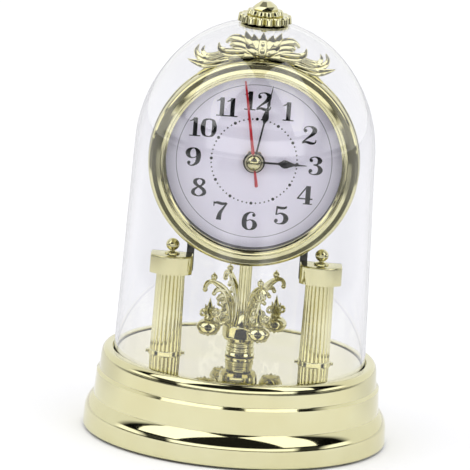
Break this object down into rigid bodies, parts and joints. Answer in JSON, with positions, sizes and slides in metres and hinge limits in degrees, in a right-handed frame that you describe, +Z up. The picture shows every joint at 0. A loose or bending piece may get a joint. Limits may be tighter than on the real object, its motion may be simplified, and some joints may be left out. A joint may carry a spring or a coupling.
{
  "type": "dome clock with rotary pendulum",
  "caption": "Desk clock on a stepped round base, with two fluted columns, a round dial, a turning pendulum and a clear lift-off dome.",
  "frame": {"origin": "centre of the circle that the feet stand on, at the level of the table", "axes": "+Z up along the dome's axis, the dial faces -Y, +X to the right of someone who reads the dial"},
  "size_m": [0.1548, 0.1548, 0.2256],
  "materials": {
    "gold_plated_plastic": "vacuum plated, polished",
    "mirror_deck": "polished",
    "clear_plastic": "moulded, clear",
    "clear_lens": "polished",
    "printed_dial": "printed, satin",
    "black_plastic": "moulded",
    "black_lacquer": "lacquered",
    "red_lacquer": "lacquered",
    "brass": "turned",
    "steel": "zinc plated",
    "rubber": "moulded",
    "magnet": "pressed",
    "copper": "enamelled wire",
    "board": "lacquered",
    "cell": "printed sleeve"
  },
  "bodies": {
    "stand": {"base_shell": "gold_plated_plastic", "plinth_left": "gold_plated_plastic", "plinth_right": "gold_plated_plastic", "column_left": "gold_plated_plastic", "column_right": "gold_plated_plastic", "capital_left": "gold_plated_plastic", "capital_right": "gold_plated_plastic", "column_ball_left": "gold_plated_plastic", "column_ball_right": "gold_plated_plastic", "case_body": "gold_plated_plastic", "bezel": "gold_plated_plastic", "crest": "gold_plated_plastic", "deck_plate": "mirror_deck", "lens": "clear_lens", "dial": "printed_dial", "bottom_cover": "black_plastic", "back_cover": "black_plastic", "lens_spacer": "black_plastic", "movement": "black_plastic", "support_left": "black_plastic", "support_right": "black_plastic", "bush_nut": "brass", "cover_screws": "steel", "tie_screws": "steel", "support_screws": "steel", "pivot_needle": "steel", "base_contacts": "steel", "clock_contacts": "steel", "base_feet": "rubber", "drive_coil": "copper", "drive_board": "board", "base_battery": "cell", "clock_battery": "cell"},
    "cover": {"dome": "clear_plastic", "finial_crown": "gold_plated_plastic", "finial_knob": "gold_plated_plastic", "finial_washer": "gold_plated_plastic"},
    "pendulum": {"pendulum_tube": "gold_plated_plastic", "pendulum_bearing": "black_plastic", "pendulum_bowl": "gold_plated_plastic", "pendulum_magnet": "magnet", "pendulum_arm_1": "gold_plated_plastic", "pendulum_arm_2": "gold_plated_plastic", "pendulum_arm_3": "gold_plated_plastic", "pendulum_arm_4": "gold_plated_plastic", "pendulum_bob_1": "gold_plated_plastic", "pendulum_bob_2": "gold_plated_plastic", "pendulum_bob_3": "gold_plated_plastic", "pendulum_bob_4": "gold_plated_plastic"},
    "hour": {"hour_hand": "black_lacquer", "hour_pipe": "brass"},
    "minute": {"minute_hand": "black_lacquer", "minute_arbor": "steel"},
    "second": {"second_hand": "red_lacquer", "second_pin": "steel", "hand_cap": "gold_plated_plastic"},
    "knob": {"set_knob": "black_plastic"},
    "door": {"battery_door": "black_plastic"}
  },
  "joints": [
    {"name": "dome_lift", "type": "slide", "parent": "stand", "child": "cover", "axis": [0, 0, 1], "range_m": [0, 0.23]},
    {"name": "pendulum_spin", "type": "hinge", "parent": "stand", "child": "pendulum", "pos_m": [0, 0, 0.088], "axis": [0, 0, 1], "continuous": true},
    {"name": "minute_spin", "type": "hinge", "parent": "stand", "child": "minute", "pos_m": [0, -0.0138, 0.145], "axis": [0, 1, 0], "continuous": true},
    {"name": "hour_spin", "type": "hinge", "parent": "stand", "child": "hour", "pos_m": [0, -0.0128, 0.145], "axis": [0, 1, 0], "continuous": true},
    {"name": "second_spin", "type": "hinge", "parent": "stand", "child": "second", "pos_m": [0, -0.0148, 0.145], "axis": [0, 1, 0], "continuous": true},
    {"name": "knob_spin", "type": "hinge", "parent": "stand", "child": "knob", "pos_m": [0, 0.009, 0.159], "axis": [0, 1, 0], "continuous": true},
    {"name": "door_hinge", "type": "hinge", "parent": "stand", "child": "door", "pos_m": [0, 0.0405, 0.00195], "axis": [1, 0, 0], "range_deg": [0, 90]}
  ],
  "couplings": [
    {"joint": "hour_spin", "follows": "minute_spin", "ratio": 0.083333},
    {"joint": "knob_spin", "follows": "minute_spin", "ratio": 1}
  ]
}
